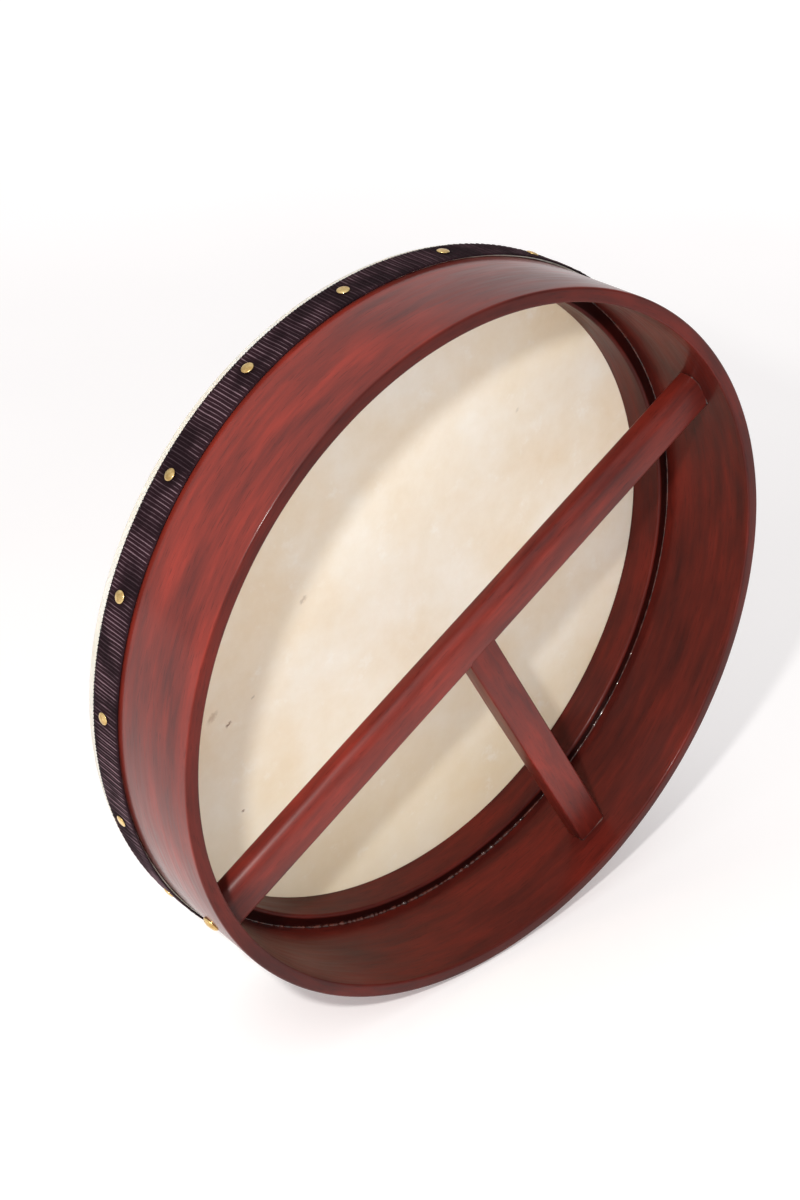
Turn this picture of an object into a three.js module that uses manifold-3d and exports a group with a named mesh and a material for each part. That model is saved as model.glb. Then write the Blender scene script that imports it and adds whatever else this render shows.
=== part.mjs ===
// A bodhran: an Irish frame drum of stained wood with one goatskin head.
//
// Units are millimetres and +Z is up. The drum stands on its rim with its axis along Y:
// the open back, with the T-shaped grip inside it, faces -Y and the skin faces +Y.
// The origin is at the middle of the footprint, on the surface that the drum stands on.
//
// The shell, skin, trim band and inner ring are revolved around Y with the same number of
// segments, so that the facets of neighbours run parallel and keep an even gap.

import * as THREE from "three";
import { mergeVertices } from "three/addons/utils/BufferGeometryUtils.js";
import Module from "manifold-3d";

// ---- Driving dimensions ----

const SHELL_RADIUS = 228.6; // outer radius of an 18 inch shell
const SHELL_WALL = 8.8;
const DRUM_DEPTH = 96.3; // from the open rim to the face of the skin
const RIM_ROUND = 1.6; // rounding of the open rim's two corners
const BEARING_ROUND = 3; // rounding of the edge that the skin bends over
const GAP = 0.3; // clearance between neighbouring pieces

const SKIN_THICKNESS = 0.8;
const SKIRT_THICKNESS = 0.6; // the skin is stretched thinner where it is pulled down the side
const SKIRT_END = 29; // how far down the side the skin reaches, from its face

const BAND_START = 6.2; // the ribbon's two edges, from the face of the skin
const BAND_END = 30.4;
const BAND_THICKNESS = 1;
const TRIM_DRIFT = 2.1; // how far the hand-laid ribbon and its tacks stray towards the rim
const TRIM_DRIFT_ANGLE = 166; // where they stray the furthest, in degrees from +X towards +Z

const RING_INNER_RADIUS = 210.3;
const RING_TOP = 25.4; // the ring's lip, from the face of the skin
const RING_TOP_SLOPE = 1.2; // how much lower its top is where it meets the shell
const RING_ROUND = 1.6;
const RING_RECESS = 0.7; // the ring stops short of the skin, so the head only bears on the shell

const GRIP_ANGLE = 30.5; // the crossbar's slope, in degrees from +X towards +Z
const CROSSBAR_OFFSET = 5; // how far the crossbar lies from the drum's axis, away from the stem
const CROSSBAR_WIDTH = 28;
const CROSSBAR_DEPTH = 14;
const CROSSBAR_ROUND = 4.5;
const STEM_WIDTH = 23;
const STEM_DEPTH = 16;
const STEM_ROUND = 1.8;
const GRIP_FACE = 75; // the front of the crossbar and stem, from the face of the skin

const DOWEL_RADIUS = 4;
const DOWEL_LENGTH = 28;

const TACK_COUNT = 20;
const TACK_PHASE = 85.7; // the angle of the first tack, in degrees from +X towards +Z
const TACK_LINE = 17.2; // the row of tacks, from the face of the skin, where it doesn't stray
const TACK_HEAD_RADIUS = 3.8;
const TACK_HEAD_HEIGHT = 1.2;
const TACK_SHANK_RADIUS = 0.8;
const TACK_SHANK_LENGTH = 8;

const SCREW_HEAD_RADIUS = 5.6;
const SCREW_HEAD_HEIGHT = 2.8;
const SCREW_SHANK_RADIUS = 2;
const SCREW_LENGTH = 34;
const SCREW_SLOT_WIDTH = 1.1;
const SCREW_SLOT_DEPTH = 1;

const SEGMENTS = 72; // around the drum
const SMALL_SEGMENTS = 8; // around a tack, a screw or a dowel
const CORNER_STEPS = 2; // flats in each rounded corner

// ---- Worked-out places ----

const DEG = Math.PI / 180;
const FACE_Y = DRUM_DEPTH / 2;
const RIM_Y = -DRUM_DEPTH / 2;
const INNER_RADIUS = SHELL_RADIUS - SHELL_WALL;
const SHELL_HEAD_Y = FACE_Y - SKIN_THICKNESS - GAP;
const SKIRT_INNER = SHELL_RADIUS + GAP;
const SKIRT_OUTER = SKIRT_INNER + SKIRT_THICKNESS;
const BAND_INNER = SKIRT_OUTER + GAP;
const BAND_OUTER = BAND_INNER + BAND_THICKNESS;
const GRIP_FACE_Y = FACE_Y - GRIP_FACE;
const CROSSBAR_MID_Y = GRIP_FACE_Y + CROSSBAR_DEPTH / 2;
const STEM_MID_Y = GRIP_FACE_Y + STEM_DEPTH / 2;
const STEM_START = CROSSBAR_OFFSET - CROSSBAR_WIDTH / 2 - GAP; // its height up the crossbar's normal

// ---- Materials ----

function material(color, roughness, metalness = 0) {
  return new THREE.MeshStandardMaterial({ color, roughness, metalness });
}

const STAINED_WOOD = material(0x74302a, 0.35);
const RAW_DOWEL = material(0xc49a6c, 0.7);
const GOATSKIN = material(0xe9dcc6, 0.6);
const RIBBON = material(0x231a1e, 0.55);
const BRASS = material(0xc9a75a, 0.3, 1);

// ---- Solids: three.js geometry to manifold-3d and back ----

const wasm = await Module();
wasm.setup();

function solid(geometry) {
  const bare = geometry.clone();
  bare.deleteAttribute("normal");
  bare.deleteAttribute("uv");
  const merged = mergeVertices(bare, 1e-4);
  return new wasm.Manifold(
    new wasm.Mesh({
      numProp: 3,
      vertProperties: new Float32Array(merged.getAttribute("position").array),
      triVerts: new Uint32Array(merged.getIndex().array),
    }),
  );
}

function geometryOf(manifold) {
  const mesh = manifold.getMesh();
  const geometry = new THREE.BufferGeometry();
  geometry.setAttribute("position", new THREE.BufferAttribute(mesh.vertProperties, 3));
  geometry.setIndex(new THREE.BufferAttribute(mesh.triVerts, 1));
  geometry.computeVertexNormals();
  return geometry;
}

function cut(geometry, tools) {
  const body = tools.reduce((left, tool) => left.subtract(solid(tool)), solid(geometry));
  return geometryOf(body);
}

// ---- Profiles and shapes ----

// A quarter turn about (x, y) from one angle to another, as points of a profile.
function corner(x, y, radius, fromDegrees, toDegrees) {
  const points = [];
  for (let step = 0; step <= CORNER_STEPS; step += 1) {
    const angle = DEG * (fromDegrees + ((toDegrees - fromDegrees) * step) / CORNER_STEPS);
    points.push(new THREE.Vector2(x + radius * Math.cos(angle), y + radius * Math.sin(angle)));
  }
  return points;
}

function point(x, y) {
  return new THREE.Vector2(x, y);
}

// A closed profile revolved around the drum's axis.
function revolve(profile) {
  const closed = [...profile, profile[0].clone()];
  return new THREE.LatheGeometry(closed, SEGMENTS);
}

// A rod along +Y, from y = low to y = high.
function rod(radius, low, high) {
  const geometry = new THREE.CylinderGeometry(radius, radius, high - low, SMALL_SEGMENTS);
  return geometry.translate(0, (low + high) / 2, 0);
}

// A bar along +X from one end to the other, whose section is centred on the X axis.
// roundFront rounds the two corners towards -Y, and roundBack the two towards +Y.
function bar(start, end, width, depth, roundFront, roundBack) {
  const w = width / 2;
  const d = depth / 2;
  const outline = [
    ...corner(-d + roundFront, w - roundFront, roundFront, 180, 90),
    ...corner(d - roundBack, w - roundBack, roundBack, 90, 0),
    ...corner(d - roundBack, -w + roundBack, roundBack, 0, -90),
    ...corner(-d + roundFront, -w + roundFront, roundFront, -90, -180),
  ];
  const shape = new THREE.Shape(outline);
  const geometry = new THREE.ExtrudeGeometry(shape, { depth: end - start, bevelEnabled: false });
  // the section's x becomes Y, its y becomes Z, and the extrusion runs along X
  const axes = new THREE.Matrix4().makeBasis(
    new THREE.Vector3(0, 1, 0),
    new THREE.Vector3(0, 0, 1),
    new THREE.Vector3(1, 0, 0),
  );
  return geometry.applyMatrix4(axes).translate(start, 0, 0);
}

// Places a piece at an angle around the drum: its +Y points outwards along the radius.
function aroundDrum(degrees, radius, y) {
  const turn = new THREE.Matrix4().makeRotationY(-degrees * DEG);
  const outwards = new THREE.Matrix4().makeRotationZ(-Math.PI / 2);
  const move = new THREE.Matrix4().makeTranslation(radius, y, 0);
  return turn.multiply(move).multiply(outwards);
}

function named(name, geometry, look) {
  const mesh = new THREE.Mesh(geometry, look);
  mesh.name = name;
  return mesh;
}

// ---- Where the fasteners go ----

function tackAngles() {
  return Array.from({ length: TACK_COUNT }, (_, index) => TACK_PHASE + (index * 360) / TACK_COUNT);
}

// Each screw runs along the bar that it holds: its angle, its depth and its sideways offset.
const SCREWS = [
  { name: "crossbar_screw_upper", angle: GRIP_ANGLE, y: CROSSBAR_MID_Y, offset: CROSSBAR_OFFSET },
  { name: "crossbar_screw_lower", angle: GRIP_ANGLE + 180, y: CROSSBAR_MID_Y, offset: -CROSSBAR_OFFSET },
  { name: "stem_screw", angle: GRIP_ANGLE - 90, y: STEM_MID_Y, offset: 0 },
];

function screwPlace(screw) {
  const reach = Math.sqrt(SHELL_RADIUS ** 2 - screw.offset ** 2) + GAP;
  return aroundDrum(screw.angle, reach, screw.y).multiply(
    new THREE.Matrix4().makeTranslation(0, 0, screw.offset),
  );
}

// How far the ribbon and its tacks lie towards the rim at an angle: one smooth stray.
function trimDrift(angle) {
  const nearness = (1 + Math.cos((angle - TRIM_DRIFT_ANGLE) * DEG)) / 2;
  return TRIM_DRIFT * nearness ** 12;
}

function tackPlace(angle) {
  return aroundDrum(angle, BAND_OUTER + GAP, FACE_Y - TACK_LINE - trimDrift(angle));
}

function tackHoles(depth) {
  return tackAngles().map((angle) =>
    rod(TACK_SHANK_RADIUS + GAP, -depth, TACK_HEAD_HEIGHT).applyMatrix4(tackPlace(angle)),
  );
}

function screwHoles() {
  return SCREWS.map((screw) =>
    rod(SCREW_SHANK_RADIUS + GAP, -SCREW_LENGTH - GAP, SCREW_HEAD_HEIGHT).applyMatrix4(
      screwPlace(screw),
    ),
  );
}

// ---- Pieces ----

// The bent-wood shell: its open rim is eased and its head edge is rounded for the skin.
function makeShell() {
  const profile = [
    ...corner(INNER_RADIUS + RIM_ROUND, RIM_Y + RIM_ROUND, RIM_ROUND, 180, 270),
    ...corner(SHELL_RADIUS - RIM_ROUND, RIM_Y + RIM_ROUND, RIM_ROUND, 270, 360),
    ...corner(SHELL_RADIUS - BEARING_ROUND, SHELL_HEAD_Y - BEARING_ROUND, BEARING_ROUND, 0, 90),
    point(INNER_RADIUS, SHELL_HEAD_Y),
  ];
  const holes = [...tackHoles(TACK_SHANK_LENGTH + GAP), ...screwHoles()];
  return named("shell", cut(revolve(profile), holes), STAINED_WOOD);
}

// The ring glued inside the shell behind the skin.
function makeInnerRing() {
  const outer = INNER_RADIUS - GAP;
  const bottom = FACE_Y - SKIN_THICKNESS - RING_RECESS;
  const top = FACE_Y - RING_TOP;
  const profile = [
    ...corner(RING_INNER_RADIUS + RING_ROUND, top + RING_ROUND, RING_ROUND, 180, 270),
    point(outer, top + RING_TOP_SLOPE),
    point(outer, bottom),
    point(RING_INNER_RADIUS, bottom),
  ];
  return named("inner_ring", revolve(profile), STAINED_WOOD);
}

// The skin: a flat head, a rounded shoulder over the bearing edge, and a skirt under the band.
function makeSkin() {
  const innerRound = BEARING_ROUND + GAP;
  const outerRound = innerRound + SKIRT_THICKNESS;
  const under = FACE_Y - SKIN_THICKNESS;
  const end = FACE_Y - SKIRT_END;
  const profile = [
    point(0, FACE_Y),
    ...corner(SKIRT_OUTER - outerRound, FACE_Y - outerRound, outerRound, 90, 0),
    point(SKIRT_OUTER, end),
    point(SKIRT_INNER, end),
    ...corner(SKIRT_INNER - innerRound, under - innerRound, innerRound, 0, 90),
    point(0, under),
  ].reverse();
  const head = new THREE.LatheGeometry(profile, SEGMENTS);
  return named("skin_head", cut(head, tackHoles(TACK_SHANK_LENGTH)), GOATSKIN);
}

// The ribbon that covers the edge of the skin, a ring that follows the stray of its tacks.
function makeBand() {
  const front = FACE_Y - BAND_START;
  const back = FACE_Y - BAND_END;
  const profile = [
    point(BAND_INNER, back),
    point(BAND_OUTER, back),
    point(BAND_OUTER, front),
    point(BAND_INNER, front),
  ];
  const ring = revolve(profile);
  const position = ring.getAttribute("position");
  for (let index = 0; index < position.count; index += 1) {
    const angle = Math.atan2(position.getZ(index), position.getX(index)) / DEG;
    position.setY(index, position.getY(index) - trimDrift(angle));
  }
  return named("trim_band", cut(ring, tackHoles(TACK_SHANK_LENGTH)), RIBBON);
}

// The space inside the shell, which trims the ends of the grip to the shell's curve.
function insideOfShell() {
  const radius = INNER_RADIUS - GAP;
  const profile = [point(0, RIM_Y), point(radius, RIM_Y), point(radius, FACE_Y), point(0, FACE_Y)];
  return new THREE.LatheGeometry(profile, SEGMENTS);
}

// The bars are built along +X, so the grip's slope is applied before they are trimmed.
function gripPiece(name, geometry, tools) {
  const slope = new THREE.Matrix4().makeRotationY(-GRIP_ANGLE * DEG);
  const turned = solid(geometry.applyMatrix4(slope));
  const trimmed = turned.intersect(solid(insideOfShell()));
  const bored = tools.reduce((left, tool) => left.subtract(solid(tool)), trimmed);
  return named(name, geometryOf(bored), STAINED_WOOD);
}

// The dowel's axis runs down the middle of the stem and into the side of the crossbar.
function dowelRod(radius, length) {
  const slope = new THREE.Matrix4().makeRotationY(-GRIP_ANGLE * DEG);
  const along = new THREE.Matrix4().makeRotationX(Math.PI / 2);
  const place = new THREE.Matrix4().makeTranslation(0, CROSSBAR_MID_Y, STEM_START + GAP / 2);
  return rod(radius, -length / 2, length / 2).applyMatrix4(slope.multiply(place).multiply(along));
}

function dowelHole() {
  return dowelRod(DOWEL_RADIUS + GAP, DOWEL_LENGTH + 2 * GAP);
}

function makeCrossbar() {
  const length = bar(
    -SHELL_RADIUS,
    SHELL_RADIUS,
    CROSSBAR_WIDTH,
    CROSSBAR_DEPTH,
    CROSSBAR_ROUND,
    CROSSBAR_ROUND / 2,
  ).translate(0, CROSSBAR_MID_Y, CROSSBAR_OFFSET);
  return gripPiece("crossbar", length, [dowelHole(), ...screwHoles()]);
}

function makeStem() {
  const length = bar(-STEM_START, SHELL_RADIUS, STEM_WIDTH, STEM_DEPTH, STEM_ROUND, STEM_ROUND)
    .rotateY(90 * DEG)
    .translate(0, STEM_MID_Y, 0);
  return gripPiece("stem", length, [dowelHole(), ...screwHoles()]);
}

function makeDowel() {
  return named("stem_dowel", dowelRod(DOWEL_RADIUS, DOWEL_LENGTH), RAW_DOWEL);
}

// A domed nail: its head sits on y = 0 and its shank points down -Y.
function domeHead(radius, height) {
  const steps = 3;
  return Array.from({ length: steps + 1 }, (_, step) => {
    const angle = (90 * DEG * step) / steps;
    return point(radius * Math.cos(angle), height * Math.sin(angle));
  });
}

function nailGeometry(headRadius, headHeight, shankRadius, length) {
  const profile = [
    point(0, -length),
    point(shankRadius, -length + 2 * shankRadius),
    point(shankRadius, 0),
    ...domeHead(headRadius, headHeight),
  ];
  profile[profile.length - 1].x = 0;
  return new THREE.LatheGeometry(profile, SMALL_SEGMENTS);
}

function makeTacks() {
  const geometry = nailGeometry(
    TACK_HEAD_RADIUS,
    TACK_HEAD_HEIGHT,
    TACK_SHANK_RADIUS,
    TACK_SHANK_LENGTH,
  );
  return tackAngles().map((angle, index) => {
    const number = String(index + 1).padStart(2, "0");
    const tack = named(`tack_${number}`, geometry, BRASS);
    tack.applyMatrix4(tackPlace(angle));
    return tack;
  });
}

function makeScrews() {
  const blank = nailGeometry(SCREW_HEAD_RADIUS, SCREW_HEAD_HEIGHT, SCREW_SHANK_RADIUS, SCREW_LENGTH);
  const slot = new THREE.BoxGeometry(3 * SCREW_HEAD_RADIUS, 2 * SCREW_SLOT_DEPTH, SCREW_SLOT_WIDTH);
  slot.translate(0, SCREW_HEAD_HEIGHT, 0);
  const geometry = cut(blank, [slot]);
  return SCREWS.map((screw) => {
    const mesh = named(screw.name, geometry, BRASS);
    mesh.applyMatrix4(screwPlace(screw));
    return mesh;
  });
}

// ---- Assembly ----

const drum = new THREE.Group();
drum.add(
  makeShell(),
  makeInnerRing(),
  makeSkin(),
  makeBand(),
  makeCrossbar(),
  makeStem(),
  makeDowel(),
  ...makeTacks(),
  ...makeScrews(),
);
drum.position.z = -new THREE.Box3().setFromObject(drum, true).min.z;

const bodhran = new THREE.Group();
bodhran.add(drum);

export default bodhran;
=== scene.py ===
"""A bodhran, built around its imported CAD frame.

The drum stands on its rim with its axis along Y: open back and grip towards -Y, skin towards +Y.
Lengths are in metres. Places come from the CAD nodes' boxes, and the few sections that a box
can't give are named below.
"""

import math
import random

import bmesh
import bpy
from mathutils import Matrix, Vector, noise


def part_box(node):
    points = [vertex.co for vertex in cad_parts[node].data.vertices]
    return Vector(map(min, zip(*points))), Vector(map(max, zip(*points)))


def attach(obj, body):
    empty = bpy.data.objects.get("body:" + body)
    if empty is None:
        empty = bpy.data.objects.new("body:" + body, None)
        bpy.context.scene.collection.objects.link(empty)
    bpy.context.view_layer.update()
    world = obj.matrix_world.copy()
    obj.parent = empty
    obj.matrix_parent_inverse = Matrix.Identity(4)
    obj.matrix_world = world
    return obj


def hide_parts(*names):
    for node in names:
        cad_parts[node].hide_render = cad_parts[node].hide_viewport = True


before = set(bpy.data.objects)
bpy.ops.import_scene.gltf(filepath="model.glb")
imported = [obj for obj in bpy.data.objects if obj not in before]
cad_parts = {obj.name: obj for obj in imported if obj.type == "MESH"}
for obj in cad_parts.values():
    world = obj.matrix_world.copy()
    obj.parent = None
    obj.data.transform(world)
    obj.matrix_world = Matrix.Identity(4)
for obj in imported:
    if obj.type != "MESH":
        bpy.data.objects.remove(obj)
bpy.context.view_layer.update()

MM = 0.001
TAU = 2 * math.pi


# ---- Sizes from the frame ----


def box_radius(node):
    """Half the width of a node that is revolved around the drum's axis."""
    low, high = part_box(node)
    return (high.x - low.x) / 2


def box_middle(node):
    low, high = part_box(node)
    return (low + high) / 2


def node_depth(node):
    low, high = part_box(node)
    return high.y - low.y


GAP = 0.3 * MM  # the clearance between neighbouring CAD pieces
CENTRE = box_middle("shell")
SHELL_RADIUS = box_radius("shell")
RIM_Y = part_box("shell")[0].y
SHELL_HEAD_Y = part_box("shell")[1].y
FACE_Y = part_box("skin_head")[1].y
INNER_RADIUS = box_radius("inner_ring") + GAP
RING_LIP_Y, RING_END_Y = (corner.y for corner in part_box("inner_ring"))
SKIRT_RADIUS = box_radius("skin_head")
SKIRT_END_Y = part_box("skin_head")[0].y
BAND_RADIUS = box_radius("trim_band")
BAND_LOW_Y, BAND_FRONT_Y = (corner.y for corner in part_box("trim_band"))
GRIP_FACE_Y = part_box("crossbar")[0].y

# ---- Sections that the boxes can't give ----

RIM_ROUND = 1.6 * MM
BEARING_ROUND = 3 * MM
RING_INNER_RADIUS = 210.3 * MM
RING_SLOPE = 1.2 * MM
SKIN_THICKNESS = 0.8 * MM
GRIP_ANGLE = math.radians(30.5)
CROSSBAR_OFFSET = 5 * MM
CROSSBAR_WIDTH = 28 * MM
CROSSBAR_ROUND = 9 * MM  # its upper front edge
CROSSBAR_EASE = 4.5 * MM  # its lower front edge
STEM_WIDTH = 23 * MM
STEM_ROUND = 1.8 * MM

TACK_RADIUS = 3.8 * MM
TACK_HEIGHT = 1.25 * MM
SCREW_RADIUS = 5.6 * MM
SCREW_HEIGHT = 2.8 * MM
SCREW_SLOT = 1.1 * MM
HEAD_RIM = 0.16  # the share of a brass head's height that is its rolled rim
SLOT_FLOOR = 0.62  # the share of a screw head's height that is left under its slot
TACK_TILT = 3  # degrees, at most, that a tack leans each way

# Old marks in the hide: x and height from the drum's axis and half-length in mm, and strength.
HIDE_MARKS = (
    (-77, 29, 5.0, 0.4),
    (-135.5, -35.5, 3.2, 0.95),
    (-147, -26, 7.0, 0.35),
    (-117, -24, 2.6, 0.4),
    (-128, -103, 1.7, 0.8),
    (96, 104, 3.0, 0.2),
)

# How far along the bar the painted shade starts, where it is full, and how strong it is.
CROSSBAR_PAINTED_SHADE_ENDS = (-185 * MM, -218 * MM, 0.45), (0, 200 * MM, 0.3)
STEM_PAINTED_SHADE_ENDS = (45 * MM, 12 * MM, 0.25), (120 * MM, 216 * MM, 0.35)

HIGHLIGHT_WAY = (math.cos(math.radians(158)), 0, math.sin(math.radians(158)))  # the side where the painted highlight on the gathers is strongest
GLUE_POOL_ANGLE = math.radians(-92)  # where the glue ran and gathered

RIB_COUNT = 648
HIGH_RIB, LOW_RIB = 1.22, 0.55  # every other gather stands higher
# One gather's outline, from its start: the share of its width, and the share of its height.
RIB_HEIGHTS = ((0.0, 0.0), (0.36, 0.06), (0.53, 0.32), (0.63, 1.0), (0.69, 0.94), (0.8, 0.16))
RIB_SLANT = 0.8 * MM  # how far a gather runs round the drum from one edge to the other
RIB_STRAY = 0.35 * MM  # how far it wavers to either side on its way
HEM_SCALLOP = 0.3 * MM  # how much the gathers wave the ribbon's two edges
BAND_ROWS = 13
TRIM_DRIFT = 2.1 * MM  # how far the ribbon strays towards the rim, and at which angle
TRIM_DRIFT_ANGLE = math.radians(166)
BAND_BACK_Y = BAND_LOW_Y + TRIM_DRIFT  # where it lies when it doesn't stray
BAND_SEAT_RADIUS = SKIRT_RADIUS + GAP
BAND_CREST = BAND_RADIUS - BAND_SEAT_RADIUS


# ---- Mesh helpers ----


def arc(x, y, radius, start, end, steps):
    """Points on a circle about (x, y), from one angle in degrees to another."""
    turns = [math.radians(start + (end - start) * k / steps) for k in range(steps + 1)]
    return [(x + radius * math.cos(turn), y + radius * math.sin(turn)) for turn in turns]


def line(start, end, steps):
    """Points from start up to, but not including, end."""
    shares = [k / steps for k in range(steps)]
    return [tuple(a + (b - a) * share for a, b in zip(start, end)) for share in shares]


def around(angle, radius, y):
    """A point beside the drum's axis, at an angle from +X towards +Z."""
    return (radius * math.cos(angle), y, CENTRE.z + radius * math.sin(angle))


def wander(*place):
    """Smooth noise from -1 to 1."""
    return noise.noise(Vector(place))


def soften(mesh, degrees):
    """Shades a mesh smooth, apart from the edges that turn more than this."""
    limit = math.radians(degrees)
    for face in mesh.faces:
        face.smooth = True
    for edge in mesh.edges:
        edge.smooth = edge.calc_face_angle(0) < limit


def piece(name, points, faces, degrees=40):
    """A named mesh object with its faces pointing out."""
    data = bpy.data.meshes.new(name)
    data.from_pydata(points, [], faces)
    mesh = bmesh.new()
    mesh.from_mesh(data)
    bmesh.ops.remove_doubles(mesh, verts=mesh.verts, dist=1e-7)
    bmesh.ops.recalc_face_normals(mesh, faces=mesh.faces)
    soften(mesh, degrees)
    mesh.to_mesh(data)
    mesh.free()
    thing = bpy.data.objects.new(name, data)
    bpy.context.scene.collection.objects.link(thing)
    return thing


def grid_faces(columns, rows, wrap_rows=True):
    """Quads between columns of points that close on themselves around the drum."""
    faces = []
    last = rows if wrap_rows else rows - 1
    for column in range(columns):
        here = column * rows
        there = ((column + 1) % columns) * rows
        for row in range(last):
            above = (row + 1) % rows
            faces.append((here + row, there + row, there + above, here + above))
    return faces


def revolve(name, profile, segments, warp=None, wrap=True, degrees=40):
    """Revolves (radius, y) points around the drum's axis; warp may move each of them."""
    points = []
    for column in range(segments):
        angle = TAU * column / segments
        for radius, y in profile:
            if warp:
                radius, y = warp(angle, radius, y)
            points.append(around(angle, radius, y))
    return piece(name, points, grid_faces(segments, len(profile), wrap), degrees)


def tube(name, route, width, sides=6):
    """A thin closed ring along a route; width(k) is its radius at point k."""
    points = []
    count = len(route)
    for k, centre in enumerate(route):
        ahead = Vector(route[(k + 1) % count]) - Vector(route[k - 1])
        across = ahead.cross(Vector((0, 1, 0))).normalized()
        up = across.cross(ahead).normalized()
        for side in range(sides):
            turn = TAU * side / sides
            away = (across * math.cos(turn) + up * math.sin(turn)) * width(k)
            points.append(Vector(centre) + away)
    return piece(name, points, grid_faces(count, sides), 60)


# ---- Shader helpers ----


class Shader:
    """One material's node tree, with short calls for the nodes that this scene uses."""

    def __init__(self, name):
        self.material = bpy.data.materials.new(name)
        self.material.use_nodes = True
        self.nodes = self.material.node_tree.nodes
        self.surface = self.nodes["Principled BSDF"]
        self.place = self.make("ShaderNodeTexCoord").outputs["Object"]

    def make(self, kind, inputs=(), **settings):
        node = self.nodes.new(kind)
        for key, value in settings.items():
            setattr(node, key, value)
        for key, value in dict(inputs).items():
            self.feed(node.inputs[key], value)
        return node

    def feed(self, socket, value):
        if isinstance(value, bpy.types.NodeSocket):
            self.material.node_tree.links.new(value, socket)
        else:
            socket.default_value = value

    def set(self, **inputs):
        """Feeds the surface's own sockets; a double underscore stands for a space."""
        for key, value in inputs.items():
            self.feed(self.surface.inputs[key.replace("__", " ")], value)

    def math(self, operation, a, b=0.0, clamp=False):
        node = self.make("ShaderNodeMath", {0: a, 1: b}, operation=operation, use_clamp=clamp)
        return node.outputs[0]

    def vector(self, operation, a, b=(0, 0, 0)):
        return self.make("ShaderNodeVectorMath", {0: a, 1: b}, operation=operation).outputs[0]

    def length(self, a):
        return self.make("ShaderNodeVectorMath", {0: a}, operation="LENGTH").outputs["Value"]

    def dot(self, a, b):
        node = self.make("ShaderNodeVectorMath", {0: a, 1: b}, operation="DOT_PRODUCT")
        return node.outputs["Value"]

    def from_axis(self):
        """The shaded point, measured from the middle of the drum."""
        return self.vector("SUBTRACT", self.place, tuple(CENTRE))

    def coordinate(self, axis):
        return self.make("ShaderNodeSeparateXYZ", {0: self.place}).outputs[axis]

    def noise(self, place, scale, detail=2.0, roughness=0.5, depth=None):
        inputs = {"Vector": place, "Scale": scale, "Detail": detail, "Roughness": roughness}
        if depth is None:
            return self.make("ShaderNodeTexNoise", inputs).outputs["Fac"]
        inputs["W"] = depth
        return self.make("ShaderNodeTexNoise", inputs, noise_dimensions="4D").outputs["Fac"]

    def ramp(self, value, stops):
        """A colour ramp of (position, colour) stops, with its two ends given first."""
        node = self.make("ShaderNodeValToRGB", {"Fac": value})
        for extra, (position, colour) in enumerate(stops):
            elements = node.color_ramp.elements
            element = elements[extra] if extra < 2 else elements.new(position)
            element.position = position
            element.color = (*colour, 1)
        return node.outputs["Color"]

    def range(self, value, low, high, to_low=0.0, to_high=1.0):
        inputs = {"Value": value, "From Min": low, "From Max": high}
        inputs.update({"To Min": to_low, "To Max": to_high})
        return self.make("ShaderNodeMapRange", inputs, interpolation_type="SMOOTHSTEP").outputs[0]

    def mix(self, share, a, b, blend="MIX"):
        node = self.make("ShaderNodeMix", data_type="RGBA", blend_type=blend)
        self.feed(node.inputs[0], share)
        self.feed(node.inputs[6], a)
        self.feed(node.inputs[7], b)
        return node.outputs[2]

    def bump(self, height, distance, strength=1.0, under=None):
        inputs = {"Height": height, "Distance": distance, "Strength": strength}
        if under is not None:
            inputs["Normal"] = under
        return self.make("ShaderNodeBump", inputs).outputs[0]


# ---- Materials ----


def wood_material(name, place_of, seed, shade, gloss=0.55, coat_roughness=0.16):
    """Red-brown stained wood under satin lacquer. place_of(shader) gives a function from a scale
    along and across the grain to the noise's vector and its fourth coordinate, and
    shade(shader) gives how much painted shade darkens the wood."""
    s = Shader(name)
    grain = place_of(s)

    def streaks(along, across, detail, shift):
        vector, depth = grain(along, across)
        moved = s.vector("ADD", vector, (seed + shift, seed, shift))
        return s.noise(moved, 1.0, detail, 0.55, depth)

    bands = streaks(9, 38, 2.0, 0.0)
    flame = streaks(24, 130, 3.0, 5.3)
    fine = streaks(30, 420, 3.0, 3.7)
    pores = streaks(110, 1300, 1.0, 9.1)
    tone = s.math("ADD", s.math("MULTIPLY", bands, 0.42), s.math("MULTIPLY", fine, 0.2))
    tone = s.math("ADD", tone, s.math("MULTIPLY", flame, 0.38))
    colour = s.ramp(
        tone,
        (
            (0.36, (0.082, 0.0125, 0.0100)),
            (0.65, (0.270, 0.0270, 0.0160)),
            (0.5, (0.158, 0.0190, 0.0125)),
        ),
    )
    pore_share = s.range(pores, 0.6, 0.7, 0.0, 0.35)
    colour = s.mix(pore_share, colour, (0.03, 0.006, 0.005, 1))
    # Painted shade: the colour is darkened where shade(s) is high.
    dark = shade(s)
    colour = s.mix(dark, colour, (0.12, 0.1, 0.1, 1), "MULTIPLY")
    rough = s.range(fine, 0.3, 0.7, 0.34, 0.46)
    relief = s.math("SUBTRACT", s.math("MULTIPLY", fine, 0.3), pore_share)
    s.set(
        Base__Color=colour,
        Roughness=rough,
        Specular__IOR__Level=0.12,
        Coat__Weight=s.range(dark, 0.0, 0.6, gloss, 0.12),
        Coat__Roughness=coat_roughness,
        Normal=s.bump(relief, 0.05 * MM, 0.4),
    )
    return s.material


def axis_distance(s):
    """How far the shaded point is from the drum's axis."""
    return s.length(s.vector("MULTIPLY", s.from_axis(), (1, 0, 1)))


def round_grain(s):
    """Grain that runs round the drum's axis, with no seam."""
    local = s.from_axis()
    radius = axis_distance(s)

    def scaled(along, across):
        vector = s.vector("MULTIPLY", local, (along, across, along))
        return vector, s.math("MULTIPLY", radius, across)

    return scaled


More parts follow.
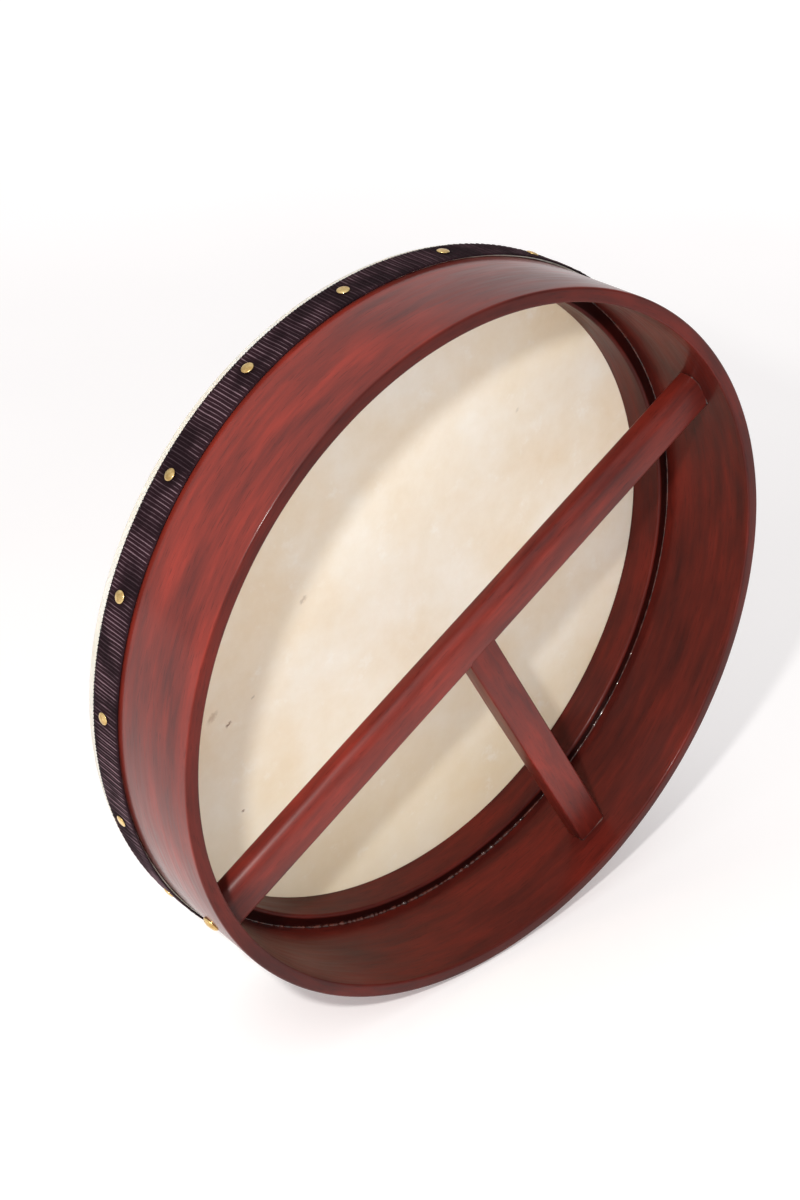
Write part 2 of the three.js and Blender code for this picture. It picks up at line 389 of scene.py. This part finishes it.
def straight_grain(direction):
    """Grain that runs along a bar, whose direction is an angle from +X towards +Z."""

    def place_of(s):
        inputs = {"Vector": s.from_axis(), "Rotation": (0, direction, 0)}
        turned = s.make("ShaderNodeMapping", inputs).outputs[0]

        def scaled(along, across):
            return s.vector("MULTIPLY", turned, (along, across, across)), 0.0

        return scaled

    return place_of


def shell_painted_shade(s):
    """Painted shade: the wood is darker inside the shell and on the face of its rim."""
    radius = axis_distance(s)
    inside = s.range(radius, INNER_RADIUS + 0.2 * MM, INNER_RADIUS + 2 * MM, 0.54, 0.16)
    rim = s.range(s.coordinate("Y"), RIM_Y + 0.2 * MM, RIM_Y + 1.4 * MM, 0.6, 0.0)
    return s.math("MAXIMUM", inside, rim)


def bar_painted_shade(direction, low_end, high_end):
    """Painted shade towards a bar's ends. Each end is given as how far along the bar the
    darkening starts, where it is full, and how strong it is."""
    along_axis = (math.cos(direction), 0, math.sin(direction))

    def shade(s):
        along = s.dot(s.from_axis(), along_axis)
        ends = [s.range(along, start, full, 0.0, most) for start, full, most in (low_end, high_end)]
        return s.math("MAXIMUM", *ends)

    return shade


def ring_painted_shade(s):
    """Painted shade: the whole ring is darker, with a painted shadow, almost black, on its top behind
    its lip.
    """
    radius = axis_distance(s)
    behind = s.range(radius, RING_INNER_RADIUS + 1.5 * MM, RING_INNER_RADIUS + 3 * MM)
    above = s.range(s.coordinate("Y"), RING_LIP_Y + 2 * MM, RING_LIP_Y + 3 * MM, 1.0, 0.0)
    groove_shadow = s.math("MULTIPLY", behind, above)
    return s.range(groove_shadow, 0.0, 1.0, 0.53, 0.98)


def bar_material(name, direction, seed, low_end, high_end):
    """The bars' wood, under a duller coat than the shell's."""
    shade = bar_painted_shade(direction, low_end, high_end)
    return wood_material(name, straight_grain(direction), seed, shade, 0.35, 0.3)


def clouded_hide(s, cloud):
    """Cream hide with yellower stains, a yellower lower part and pale scraped patches."""
    colour = s.ramp(
        cloud,
        (
            (0.32, (0.77, 0.61, 0.465)),
            (0.68, (0.88, 0.765, 0.655)),
            (0.5, (0.83, 0.69, 0.56)),
        ),
    )
    stain = s.range(s.noise(s.place, 6.5, 3.0), 0.5, 0.74, 0.0, 0.3)
    colour = s.mix(stain, colour, (0.79, 0.61, 0.38, 1))
    # Yellower and a little darker towards the bottom.
    lower_tint = s.range(s.coordinate("Z"), CENTRE.z - 20 * MM, CENTRE.z - 210 * MM, 0.0, 0.45)
    colour = s.mix(lower_tint, colour, (0.80, 0.65, 0.44, 1))
    pale = s.range(s.noise(s.place, 42.0, 4.0, 0.7), 0.56, 0.74, 0.0, 0.45)
    return s.mix(pale, colour, (0.91, 0.83, 0.75, 1))


def flecked_hide(s, colour):
    """Adds brown flecks and the old marks in the hide, all with ragged edges."""
    ragged = s.make("ShaderNodeTexNoise", {"Vector": s.place, "Scale": 420.0}).outputs["Color"]
    ragged = s.vector("MULTIPLY", s.vector("SUBTRACT", ragged, (0.5, 0.5, 0.5)), (0.004, 0, 0.004))
    torn = s.vector("ADD", s.place, ragged)
    spots = s.make("ShaderNodeTexVoronoi", {"Vector": torn, "Scale": 34.0})
    near = s.range(spots.outputs["Distance"], 0.01, 0.05, 1.0, 0.0)
    pick = s.make("ShaderNodeSeparateColor", {0: spots.outputs["Color"]}).outputs[0]
    speck = s.math("MULTIPLY", near, s.math("GREATER_THAN", pick, 0.85))
    colour = s.mix(s.math("MULTIPLY", speck, 0.45), colour, (0.30, 0.20, 0.12, 1))
    for x, z, width, strength in HIDE_MARKS:
        away = s.vector("SUBTRACT", torn, (x * MM, 0, CENTRE.z + z * MM))
        away = s.make("ShaderNodeMapping", {"Vector": away, "Rotation": (0, 0.7, 0)}).outputs[0]
        away = s.vector("MULTIPLY", away, (1, 0, 2.2))
        mark = s.range(s.length(away), 0.2 * width * MM, width * MM, strength, 0.0)
        colour = s.mix(mark, colour, (0.16, 0.09, 0.05, 1))
    return colour


def skin_material():
    """Scraped goatskin: cream, clouded and flecked, with a fine pebbled surface."""
    s = Shader("goatskin")
    cloud = s.noise(s.place, 15.0, 6.0, 0.62)
    pebble = s.noise(s.place, 520.0, 2.0)
    wave = s.noise(s.place, 60.0, 2.0)
    under = s.bump(wave, 0.25 * MM, 0.5)
    s.set(
        Base__Color=flecked_hide(s, clouded_hide(s, cloud)),
        Roughness=s.range(cloud, 0.35, 0.65, 0.42, 0.58),
        Subsurface__Weight=0.85,
        Subsurface__Radius=(1.0, 0.88, 0.82),
        Subsurface__Scale=0.004,
        Normal=s.bump(pebble, 0.05 * MM, 0.35, under),
    )
    return s.material


def ribbon_material():
    """Black grosgrain ribbon with a plum tinge, and a painted lilac highlight on its gathers' crests.
    """
    s = Shader("ribbon")
    fibre = s.noise(s.vector("MULTIPLY", s.place, (1, 0.25, 1)), 1500.0, 2.0)
    patch = s.noise(s.place, 45.0, 3.0)
    colour = s.ramp(
        patch,
        ((0.35, (0.008, 0.003, 0.0045)), (0.7, (0.022, 0.0085, 0.012))),
    )
    # Painted highlight: lilac on the gathers' crests, in patches, strongest towards the lamp's side.
    height = s.range(axis_distance(s), BAND_RADIUS - 0.42 * MM, BAND_RADIUS - 0.05 * MM)
    lamp_side = s.dot(s.from_axis(), HIGHLIGHT_WAY)
    lamp_side = s.range(lamp_side, 0.3 * BAND_RADIUS, 0.85 * BAND_RADIUS, 0.2, 1.0)
    crest_highlight = s.math("MULTIPLY", height, s.range(patch, 0.38, 0.62, 0.2, 1.0))
    crest_highlight = s.math("MULTIPLY", crest_highlight, lamp_side)
    colour = s.mix(crest_highlight, colour, (0.19, 0.125, 0.145, 1))
    s.set(
        Base__Color=colour,
        Roughness=s.range(fibre, 0.3, 0.7, 0.6, 0.8),
        Specular__IOR__Level=0.07,
        Specular__Tint=(1.0, 0.8, 0.88, 1),
        Normal=s.bump(fibre, 0.05 * MM, 0.6),
    )
    return s.material


def brass_material():
    """Stamped brass, polished on top and dulled in its scratches."""
    s = Shader("brass")
    tarnish = s.noise(s.place, 260.0, 4.0, 0.65)
    colour = s.ramp(
        tarnish,
        ((0.35, (0.52, 0.33, 0.12)), (0.62, (0.86, 0.64, 0.29))),
    )
    s.set(
        Base__Color=colour,
        Metallic=1.0,
        Roughness=s.range(tarnish, 0.35, 0.7, 0.34, 0.17),
        Normal=s.bump(tarnish, 0.08 * MM, 0.4),
    )
    return s.material


def lacquer_material():
    """Dark squeezed-out glue under gloss lacquer."""
    s = Shader("glue_line")
    cloud = s.noise(s.place, 180.0, 3.0)
    colour = s.ramp(cloud, ((0.35, (0.02, 0.006, 0.005)), (0.68, (0.11, 0.028, 0.018))))
    s.set(Base__Color=colour, Roughness=0.16, Coat__Weight=0.5, Coat__Roughness=0.05)
    return s.material


def dowel_material():
    """Plain beech with short flecks along the dowel."""
    s = Shader("beech")
    vector, _ = straight_grain(GRIP_ANGLE)(s)(500, 60)
    fleck = s.noise(vector, 1.0, 3.0)
    colour = s.ramp(fleck, ((0.4, (0.42, 0.25, 0.13)), (0.65, (0.62, 0.43, 0.26))))
    s.set(Base__Color=colour, Roughness=0.62, Normal=s.bump(fleck, 0.05 * MM, 0.4))
    return s.material


# ---- Wooden pieces ----


def make_shell():
    steps = 6
    profile = [
        *arc(INNER_RADIUS + RIM_ROUND, RIM_Y + RIM_ROUND, RIM_ROUND, 180, 270, steps),
        *arc(SHELL_RADIUS - RIM_ROUND, RIM_Y + RIM_ROUND, RIM_ROUND, 270, 360, steps),
        *arc(SHELL_RADIUS - BEARING_ROUND, SHELL_HEAD_Y - BEARING_ROUND, BEARING_ROUND, 0, 90, 4),
        (INNER_RADIUS, SHELL_HEAD_Y),
    ]

    def warp(angle, radius, y):
        place = (math.cos(angle), math.sin(angle))
        drift = 0.12 * MM * wander(2 * place[0], 2 * place[1], y * 12)
        edge = 0.1 * MM * wander(9 * place[0], 9 * place[1], 4)
        return radius + drift, y + (edge if y < RIM_Y + RIM_ROUND else 0)

    return revolve("shell_wood", profile, 360, warp)


def make_ring():
    outer = INNER_RADIUS - GAP
    lip = 2 * MM
    profile = [
        *arc(RING_INNER_RADIUS + lip, RING_LIP_Y + lip, lip, 180, 285, 6),
        (outer, RING_LIP_Y + RING_SLOPE),
        (outer, RING_END_Y),
        (RING_INNER_RADIUS, RING_END_Y),
    ]

    def warp(angle, radius, y):
        place = (math.cos(angle), math.sin(angle))
        if y > RING_LIP_Y + 3 * MM or radius > outer - MM:
            return radius, y
        return radius, y + 0.3 * MM * wander(5 * place[0], 5 * place[1], 1)

    return revolve("inner_ring_wood", profile, 360, warp)


def make_glue_line():
    """The uneven bead where the inner ring meets the shell."""
    count = 1440
    radius = INNER_RADIUS - 0.25 * MM
    y = RING_LIP_Y + RING_SLOPE - 0.3 * MM
    route = [around(TAU * k / count, radius, y) for k in range(count)]

    def width(k):
        angle = TAU * k / count
        below = max(0, math.cos(angle - GLUE_POOL_ANGLE)) ** 6
        slow = wander(6 * math.cos(angle), 6 * math.sin(angle), 2)
        quick = wander(85 * math.cos(angle), 85 * math.sin(angle), 5)
        lumps = (0.4 + 1.1 * below) * quick
        return max(0.22, 0.45 + 0.5 * slow + 0.95 * below + lumps) * MM

    return tube("ring_glue_line", route, width)


def rounded_section(width, depth, upper, lower, back, crown):
    """A bar's section as (y, n) points about its middle. Its front faces -Y and is crowned, and
    upper and lower are the rounds of the front's two edges."""
    w, d = width / 2, depth / 2
    steps = 7
    top, bottom = w - upper, lower - w
    middle, half = (top + bottom) / 2, (top - bottom) / 2
    across = [-1 + 2 * k / 8 for k in range(1, 8)]
    front_face = [(-d - crown * (1 - share**2), middle + half * share) for share in across]
    return [
        *arc(-d + upper, w - upper, upper, 180, 90, steps),
        *arc(d - back, w - back, back, 90, 0, steps),
        *arc(d - back, -w + back, back, 0, -90, steps),
        *arc(-d + lower, -w + lower, lower, -90, -180, steps),
        *front_face,
    ]


def crossbar_section(crown=0.4 * MM):
    depth = node_depth("crossbar")
    return rounded_section(CROSSBAR_WIDTH, depth, CROSSBAR_ROUND, CROSSBAR_EASE, 2.5 * MM, crown)


def stem_section(crown=0.15 * MM):
    depth = node_depth("stem")
    return rounded_section(STEM_WIDTH, depth, STEM_ROUND, STEM_ROUND, STEM_ROUND, crown)


def shell_reach(n):
    """How far along a bar the shell's inner wall lies, at a distance n from the axis."""
    return math.sqrt((INNER_RADIUS - GAP) ** 2 - n * n)


def bar_point(direction, along, y, n):
    """A point of a bar that slopes at an angle, n above the drum's axis."""
    x = along * math.cos(direction) - n * math.sin(direction)
    z = along * math.sin(direction) + n * math.cos(direction)
    return (x, y, CENTRE.z + z)


def make_bar(name, direction, section, middle_y, offset, start, steps):
    """A bar whose far end follows the shell's curve; start(y, n) is where its near end lies."""
    points = []
    rows = len(section)
    for step in range(steps + 1):
        share = step / steps
        for y, n in section:
            up = n + offset
            far = shell_reach(up)
            near = start(middle_y + y, up)
            along = near + (far - near) * share
            wave = 0.16 * MM * wander(along * 14, n * 40, y * 40 + 7)
            size = math.hypot(y, n)
            points.append(
                bar_point(direction, along, middle_y + y + wave * y / size, up + wave * n / size)
            )
    faces = []
    for step in range(steps):
        for row in range(rows):
            a = step * rows + row
            b = step * rows + (row + 1) % rows
            faces.append((a, b, b + rows, a + rows))
    faces.append(tuple(range(rows)))
    faces.append(tuple(range(steps * rows, (steps + 1) * rows)))
    return piece(name, points, faces, 50)


def opposite_wall(_, n):
    """Where the crossbar starts: at the shell's wall across from its far end."""
    return -shell_reach(n)


def make_crossbar():
    middle = box_middle("crossbar").y
    section = crossbar_section()
    return make_bar("crossbar_wood", GRIP_ANGLE, section, middle, CROSSBAR_OFFSET, opposite_wall, 90)


def coped_start(y, n):
    """Where the stem starts: it is cut to the crossbar's eased lower edge, flush in front."""
    inward = max(0, CROSSBAR_EASE - max(0, y - GRIP_FACE_Y))
    eased = CROSSBAR_EASE - math.sqrt(CROSSBAR_EASE**2 - min(inward, CROSSBAR_EASE) ** 2)
    return CROSSBAR_WIDTH / 2 - CROSSBAR_OFFSET + 0.1 * MM - eased


def make_stem():
    middle = box_middle("stem").y
    direction = GRIP_ANGLE - TAU / 4
    return make_bar("stem_wood", direction, stem_section(), middle, 0, coped_start, 50)


def end_bead(name, direction, section, middle_y, offset, sign, spot):
    """A thin bead of glue round the end of a bar, thickest at a share of its way round."""
    proud = 1.01
    route = []
    for y, n in section:
        up = n * proud + offset
        along = sign * (shell_reach(up) - 0.1 * MM)
        route.append(bar_point(direction, along, middle_y + y * proud, up))

    def width(k):
        blob = max(0, math.cos(TAU * (k / len(route) - spot))) ** 20
        return (0.14 + 0.75 * blob * (1 + 0.5 * wander(k * 0.8, spot, 3))) * MM

    return tube(name, route, width)


def make_end_beads():
    crossbar, stem = crossbar_section(0), stem_section(0)
    cross_y, stem_y = box_middle("crossbar").y, box_middle("stem").y
    return [
        end_bead("bead_upper", GRIP_ANGLE, crossbar, cross_y, CROSSBAR_OFFSET, 1, 0.78),
        end_bead("bead_lower", GRIP_ANGLE, crossbar, cross_y, CROSSBAR_OFFSET, -1, 0.05),
        end_bead("bead_stem", GRIP_ANGLE - TAU / 4, stem, stem_y, 0, 1, 0.98),
    ]


# ---- Skin ----


def make_skin():
    inner = BEARING_ROUND + GAP
    thin = SKIRT_RADIUS - SHELL_RADIUS - GAP
    outer = inner + thin
    under = FACE_Y - SKIN_THICKNESS
    side = SKIRT_RADIUS - thin
    rings = 56
    edge = SKIRT_RADIUS - outer
    profile = [
        *line((0, FACE_Y), (edge, FACE_Y), rings),
        *arc(edge, FACE_Y - outer, outer, 90, 0, 8),
        *line((SKIRT_RADIUS, FACE_Y - outer), (SKIRT_RADIUS, SKIRT_END_Y), 8)[1:],
        (SKIRT_RADIUS, SKIRT_END_Y),
        (side, SKIRT_END_Y),
        *arc(side - inner, under - inner, inner, 0, 90, 6),
        *line((side - inner, under), (0, under), rings)[1:],
        (0, under),
    ]

    def warp(angle, radius, y):
        x, z = math.cos(angle), math.sin(angle)
        if radius < edge + MM and y > under - MM:
            fade = min(1, (edge + MM - radius) / (12 * MM))
            swell = wander(radius * x * 16, radius * z * 16, 2)
            ripple = wander(radius * x * 60, radius * z * 60, 6)
            return radius, y - fade * (0.12 * MM * (swell + 1) + 0.05 * MM * (ripple + 1))
        down = min(1, max(0, (FACE_Y - y) / (6 * MM)))
        pucker = wander(26 * x, 26 * z, y * 30) + 0.5 * wander(80 * x, 80 * z, 3)
        return radius + 0.14 * MM * down * pucker, y

    return revolve("goatskin", profile, 360, warp, wrap=False, degrees=50)


# ---- Ribbon ----


def rib_starts():
    """The angles where the gathers begin, almost evenly spaced, and each one's width."""
    random.seed(17)
    widths = [random.uniform(0.93, 1.07) for _ in range(RIB_COUNT)]
    scale = TAU / sum(widths)
    starts = []
    angle = 0.0
    for width in widths:
        starts.append((angle, width * scale))
        angle += width * scale
    return starts


def tack_dimple(angle, y, tacks):
    """How far the ribbon is pressed down near a tack: 0 away from it, 1 under its head."""
    nearest = min(
        math.hypot(SHELL_RADIUS * math.remainder(angle - tack, TAU), y - row) for tack, row in tacks
    )
    return max(0.0, 1 - nearest / (2.1 * TACK_RADIUS))


def trim_drift(angle):
    """How far the ribbon has strayed towards the rim at an angle."""
    nearness = (1 + math.cos(angle - TRIM_DRIFT_ANGLE)) / 2
    return TRIM_DRIFT * nearness**12


def ribbon_point(number, base, tall, height, row, tacks):
    """A point of the ribbon's ribbed face, in a row that counts from its front edge."""
    across = row / (BAND_ROWS - 1)
    slant = RIB_SLANT * (across - 0.5 + 0.1 * math.sin(TAU * across))
    stray = RIB_STRAY * wander(base * 22, across * 1.8, 5)
    angle = base + (slant + stray) / SHELL_RADIUS
    y = BAND_FRONT_Y + (BAND_BACK_Y - BAND_FRONT_Y) * across - trim_drift(angle)
    if row in (0, BAND_ROWS - 1):
        y -= HEM_SCALLOP * (height - 0.5) * (1 if row else -1)
    fold = tall * (1 + 0.35 * wander(number * 1.3, across * 3.5, 8))
    hem = 1 - abs(2 * across - 1) ** 10  # falls to 0 at the two edges
    lift = BAND_CREST * (0.42 + 0.12 * hem + 0.62 * fold * height * (0.45 + 0.55 * hem))
    pressed = 1 - 0.55 * tack_dimple(angle, y, tacks)
    return around(angle, BAND_SEAT_RADIUS + lift * pressed, y)


def make_band(tacks):
    """The gathered ribbon: a ribbed face, and a smooth back that lies on the skin's skirt."""
    half_slant = 0.5 * RIB_SLANT / SHELL_RADIUS
    points = []
    columns = 0
    for number, (start, width) in enumerate(rib_starts()):
        tall = 0.76 + 0.26 * wander(number * 0.71, 3, 1)
        tall *= HIGH_RIB if number % 2 else LOW_RIB
        for phase, height in RIB_HEIGHTS:
            base = start + phase * width
            columns += 1
            for row in range(BAND_ROWS):
                points.append(ribbon_point(number, base, tall, height, row, tacks))
            for angle, y in ((base + half_slant, BAND_BACK_Y), (base - half_slant, BAND_FRONT_Y)):
                points.append(around(angle, BAND_SEAT_RADIUS, y - trim_drift(angle)))
    return piece("ribbon_band", points, grid_faces(columns, BAND_ROWS + 2), 75)


# ---- Brass ----


def outward(angle, radius, y, sideways=0.0):
    """A frame on the drum's side, whose Z points outwards along the angle."""
    z = Vector((math.cos(angle), 0, math.sin(angle)))
    y_axis = Vector((0, 1, 0))
    x = y_axis.cross(z)
    turn = Matrix((x, y_axis, z)).transposed().to_4x4()
    place = Vector((0, y, CENTRE.z)) + z * radius - x * sideways
    return Matrix.Translation(place) @ turn


def dome(name, radius, height, place, slot=0.0, slot_turn=0.0):
    """A stamped brass head with a rolled rim; slot is the width of a screw slot across it."""
    columns, rows = 48, 10
    points = []
    across = Vector((math.cos(slot_turn), math.sin(slot_turn), 0))
    for column in range(columns):
        angle = TAU * column / columns
        ray = Vector((math.cos(angle), math.sin(angle), 0))
        for row in range(rows):
            turn = math.radians(90 * (1 - row / (rows - 1)))
            flat = ray * radius * math.cos(turn)
            top = height * (HEAD_RIM + (1 - HEAD_RIM) * math.sin(turn))
            if abs(flat.dot(across)) < slot / 2:
                top = min(top, height * SLOT_FLOOR)
            points.append(place @ Vector((flat.x, flat.y, top)))
        points.append(place @ (ray * radius * 0.985))
        points.append(place @ Vector((0, 0, 0)))
    return piece(name, points, grid_faces(columns, rows + 2, False), 40)


def tack_places():
    """Each tack's angle and its y, from its CAD node."""
    places = {}
    for node in sorted(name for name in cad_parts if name.startswith("tack_")):
        middle = box_middle(node)
        places[node] = (math.atan2(middle.z - CENTRE.z, middle.x), middle.y)
    return places


def make_tacks(places):
    random.seed(5)
    heads = {}
    for node, (angle, y) in places.items():
        tilt = Matrix.Rotation(math.radians(random.uniform(-TACK_TILT, TACK_TILT)), 4, "X")
        lean = Matrix.Rotation(math.radians(random.uniform(-TACK_TILT, TACK_TILT)), 4, "Y")
        seat = outward(angle, BAND_RADIUS - 0.1 * MM, y) @ tilt @ lean
        heads[node] = dome(f"brass_{node}", TACK_RADIUS, TACK_HEIGHT, seat)
    return heads


def make_screws():
    """The three brass screws, each at its bar's end on the outside of the shell."""
    screws = {
        "crossbar_screw_upper": (GRIP_ANGLE, CROSSBAR_OFFSET, 0.5),
        "crossbar_screw_lower": (GRIP_ANGLE + TAU / 2, -CROSSBAR_OFFSET, 1.9),
        "stem_screw": (GRIP_ANGLE - TAU / 4, 0.0, 2.7),
    }
    heads = {}
    for node, (angle, offset, slot_turn) in screws.items():
        reach = math.sqrt(SHELL_RADIUS**2 - offset**2) + 0.1 * MM
        seat = outward(angle, reach, box_middle(node).y, offset)
        heads[node] = dome(f"brass_{node}", SCREW_RADIUS, SCREW_HEIGHT, seat, SCREW_SLOT, slot_turn)
    return heads


# ---- Stage ----


# Offsets are from the middle of the drum.
CAMERA_OFFSET = Vector((-0.6553, -0.7294, 0.5781))
CAMERA_WAY = Vector((0.5601, 0.6651, -0.4938))  # the direction that it looks in
CAMERA_LENS = 55.5
KEY_OFFSET = Vector((-0.691, -0.522, 0.614))
KEY_DIAMETER = 0.055
KEY_POWER = 8.4
KEY_COLOUR = (1.0, 0.98, 0.95)
FLOOR_HALF = 15

# Each glow on the walls: its direction, the cosines of the angles from it at which it starts and
# is full, and its strength at both.
WALL_GLOWS = (
    ((-0.62, -0.1, 0.78), -0.3, 1.0, 0.3, 1.0),
    ((0.6, 0.75, 0.15), 0.5, 0.9, 0.0, 0.85),
)


def make_camera():
    """The camera looks down on the open back from the drum's left."""
    data = bpy.data.cameras.new("camera")
    data.sensor_width = 36
    data.lens = CAMERA_LENS
    data.clip_end = 50
    camera = bpy.data.objects.new("camera", data)
    bpy.context.scene.collection.objects.link(camera)
    camera.location = CENTRE + CAMERA_OFFSET
    camera.rotation_euler = CAMERA_WAY.to_track_quat("-Z", "Y").to_euler()
    bpy.context.scene.camera = camera


def make_floor():
    half = FLOOR_HALF
    corners = [(-half, -half, 0), (half, -half, 0), (half, half, 0), (-half, half, 0)]
    floor = piece("floor", corners, [(0, 1, 2, 3)])
    s = Shader("floor")
    patch = s.noise(s.place, 1.5, 2.0)
    away = s.length(s.place)
    s.set(
        Base__Color=s.ramp(patch, ((0.3, (0.80, 0.79, 0.79)), (0.7, (0.84, 0.83, 0.83)))),
        Roughness=0.7,
        Emission__Color=(1.0, 0.98, 0.98, 1),
        Emission__Strength=s.range(away, 0.4, 2.5, 0.23, 0.42),
    )
    floor.data.materials.append(s.material)


def make_key():
    """A small round lamp that shines at the drum's middle."""
    data = bpy.data.lights.new("key", "AREA")
    data.shape = "DISK"
    data.size = KEY_DIAMETER
    data.energy = KEY_POWER
    data.color = KEY_COLOUR
    light = bpy.data.objects.new("key", data)
    bpy.context.scene.collection.objects.link(light)
    light.location = CENTRE + KEY_OFFSET
    light.rotation_euler = (-KEY_OFFSET).to_track_quat("-Z", "Y").to_euler()


def make_world():
    """White walls that are brightest above the lamp's side and behind the drum, and plain white
    where the camera sees them."""
    world = bpy.data.worlds.new("studio")
    bpy.context.scene.world = world
    world.use_nodes = True
    nodes, links = world.node_tree.nodes, world.node_tree.links
    place = nodes.new("ShaderNodeTexCoord")

    def glow(direction, start, end, low, high):
        facing = nodes.new("ShaderNodeVectorMath")
        facing.operation = "DOT_PRODUCT"
        facing.inputs[1].default_value = Vector(direction).normalized()
        strength = nodes.new("ShaderNodeMapRange")
        for name, value in zip(("From Min", "From Max", "To Min", "To Max"), (start, end, low, high)):
            strength.inputs[name].default_value = value
        links.new(place.outputs["Generated"], facing.inputs[0])
        links.new(facing.outputs["Value"], strength.inputs["Value"])
        return strength.outputs[0]

    brighter = nodes.new("ShaderNodeMath")
    brighter.operation = "MAXIMUM"
    for socket, wall_glow in zip(brighter.inputs, WALL_GLOWS):
        links.new(glow(*wall_glow), socket)
    walls = nodes["Background"]
    walls.inputs["Color"].default_value = (1.0, 0.985, 0.985, 1)
    links.new(brighter.outputs[0], walls.inputs["Strength"])
    backdrop = nodes.new("ShaderNodeBackground")
    backdrop.inputs["Color"].default_value = (1, 1, 1, 1)
    path = nodes.new("ShaderNodeLightPath")
    either = nodes.new("ShaderNodeMixShader")
    links.new(path.outputs["Is Camera Ray"], either.inputs[0])
    links.new(walls.outputs[0], either.inputs[1])
    links.new(backdrop.outputs[0], either.inputs[2])
    links.new(either.outputs[0], nodes["World Output"].inputs["Surface"])


# ---- Assembly ----


def finish_piece(thing, material, slot, *nodes):
    """Gives a piece its material, sets it on the root body and hides the CAD nodes that it stands
    for. slot is not used.
    """
    thing.data.materials.clear()
    thing.data.materials.append(material)
    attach(thing, "root")
    if nodes:
        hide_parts(*nodes)
    return thing


def assemble():
    places = tack_places()
    brass = brass_material()
    glue = lacquer_material()
    shell_wood = wood_material("stained_shell", round_grain, 0.0, shell_painted_shade)
    ring_wood = wood_material("stained_ring", round_grain, 31.0, ring_painted_shade)
    crossbar_wood = bar_material("stained_crossbar", GRIP_ANGLE, 7.0, *CROSSBAR_PAINTED_SHADE_ENDS)
    stem_wood = bar_material("stained_stem", GRIP_ANGLE - TAU / 4, 19.0, *STEM_PAINTED_SHADE_ENDS)

    finish_piece(make_shell(), shell_wood, "stained_wood", "shell")
    finish_piece(make_ring(), ring_wood, "stained_wood", "inner_ring")
    finish_piece(make_glue_line(), glue, "stained_wood")
    finish_piece(make_crossbar(), crossbar_wood, "stained_wood", "crossbar")
    finish_piece(make_stem(), stem_wood, "stained_wood", "stem")
    for bead in make_end_beads():
        finish_piece(bead, glue, "stained_wood")

    skin = finish_piece(make_skin(), skin_material(), "goatskin", "skin_head")

    band = finish_piece(make_band(list(places.values())), ribbon_material(), "ribbon", "trim_band")

    for node, head in {**make_tacks(places), **make_screws()}.items():
        finish_piece(head, brass, "brass", node)

    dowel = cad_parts["stem_dowel"]
    dowel.data.materials.clear()
    dowel.data.materials.append(dowel_material())


make_camera()
make_world()
make_key()
make_floor()
assemble()
bpy.context.scene.view_settings.view_transform = "Standard"
